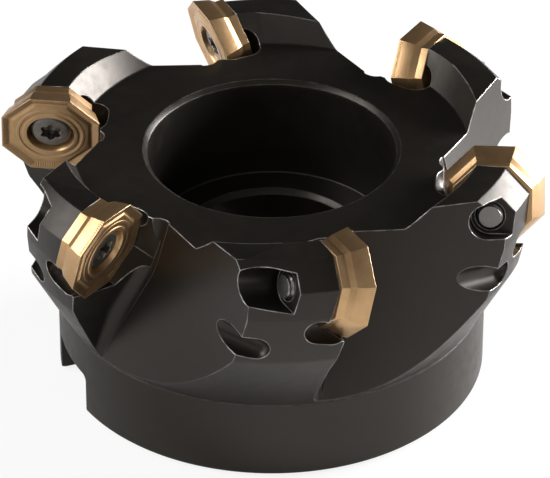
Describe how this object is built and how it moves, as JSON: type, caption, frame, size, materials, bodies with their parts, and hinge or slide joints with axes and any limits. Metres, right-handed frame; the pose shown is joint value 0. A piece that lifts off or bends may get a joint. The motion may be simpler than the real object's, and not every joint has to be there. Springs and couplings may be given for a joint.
{
  "type": "indexable face mill",
  "caption": "Shell-type indexable face mill with octagonal carbide inserts screwed into open pockets round the rim, curved chip gullets, a stepped arbor bore and drive slots across the back.",
  "frame": {"origin": "on the spindle axis, in the plane of the back mounting face", "axes": "+Z along the spindle axis towards the cutting face; seen from +Z the cutting direction is counter-clockwise"},
  "size_m": [0.0974, 0.0963, 0.05],
  "materials": {
    "body_steel": "black oxide, satin",
    "insert_coating": "gold-bronze coating on ground carbide",
    "screw_steel": "dark steel"
  },
  "bodies": {
    "cutter_body": {"cutter_body": "body_steel"},
    "insert_1": {"insert_1": "insert_coating"},
    "screw_1": {"insert_screw_1": "screw_steel"},
    "insert_2": {"insert_2": "insert_coating"},
    "screw_2": {"insert_screw_2": "screw_steel"},
    "insert_3": {"insert_3": "insert_coating"},
    "screw_3": {"insert_screw_3": "screw_steel"},
    "insert_4": {"insert_4": "insert_coating"},
    "screw_4": {"insert_screw_4": "screw_steel"},
    "insert_5": {"insert_5": "insert_coating"},
    "screw_5": {"insert_screw_5": "screw_steel"},
    "insert_6": {"insert_6": "insert_coating"},
    "screw_6": {"insert_screw_6": "screw_steel"}
  },
  "joints": [
    {"name": "insert_1_lift", "type": "slide", "parent": "cutter_body", "child": "insert_1", "axis": [-0.8846, -0.4009, -0.2382], "range_m": [0, 0.0042]},
    {"name": "screw_1_turn", "type": "hinge", "parent": "insert_1", "child": "screw_1", "pos_m": [-0.0114, 0.03928, 0.04124], "axis": [-0.8846, -0.4009, -0.2382], "range_deg": [0, 1890]},
    {"name": "insert_2_lift", "type": "slide", "parent": "cutter_body", "child": "insert_2", "axis": [-0.8067, 0.5408, -0.2382], "range_m": [0, 0.0042]},
    {"name": "screw_2_turn", "type": "hinge", "parent": "insert_2", "child": "screw_2", "pos_m": [0.02739, 0.03038, 0.04124], "axis": [-0.8067, 0.5408, -0.2382], "range_deg": [0, 1890]},
    {"name": "insert_3_lift", "type": "slide", "parent": "cutter_body", "child": "insert_3", "axis": [0.114, 0.9645, -0.2382], "range_m": [0, 0.0042]},
    {"name": "screw_3_turn", "type": "hinge", "parent": "insert_3", "child": "screw_3", "pos_m": [0.03952, -0.01054, 0.04124], "axis": [0.114, 0.9645, -0.2382], "range_deg": [0, 1890]},
    {"name": "insert_4_lift", "type": "slide", "parent": "cutter_body", "child": "insert_4", "axis": [0.867, 0.4378, -0.2382], "range_m": [0, 0.0042]},
    {"name": "screw_4_turn", "type": "hinge", "parent": "insert_4", "child": "screw_4", "pos_m": [0.01304, -0.03877, 0.04124], "axis": [0.867, 0.4378, -0.2382], "range_deg": [0, 1890]},
    {"name": "insert_5_lift", "type": "slide", "parent": "cutter_body", "child": "insert_5", "axis": [0.7867, -0.5695, -0.2382], "range_m": [0, 0.0042]},
    {"name": "screw_5_turn", "type": "hinge", "parent": "insert_5", "child": "screw_5", "pos_m": [-0.02846, -0.02937, 0.04124], "axis": [0.7867, -0.5695, -0.2382], "range_deg": [0, 1890]},
    {"name": "insert_6_lift", "type": "slide", "parent": "cutter_body", "child": "insert_6", "axis": [-0.066, -0.969, -0.2382], "range_m": [0, 0.0042]},
    {"name": "screw_6_turn", "type": "hinge", "parent": "insert_6", "child": "screw_6", "pos_m": [-0.03999, 0.00857, 0.04124], "axis": [-0.066, -0.969, -0.2382], "range_deg": [0, 1890]}
  ],
  "couplings": [
    {"joint": "screw_1_turn", "follows": "insert_1_lift", "rad_per_m": 7854},
    {"joint": "screw_2_turn", "follows": "insert_2_lift", "rad_per_m": 7854},
    {"joint": "screw_3_turn", "follows": "insert_3_lift", "rad_per_m": 7854},
    {"joint": "screw_4_turn", "follows": "insert_4_lift", "rad_per_m": 7854},
    {"joint": "screw_5_turn", "follows": "insert_5_lift", "rad_per_m": 7854},
    {"joint": "screw_6_turn", "follows": "insert_6_lift", "rad_per_m": 7854}
  ]
}
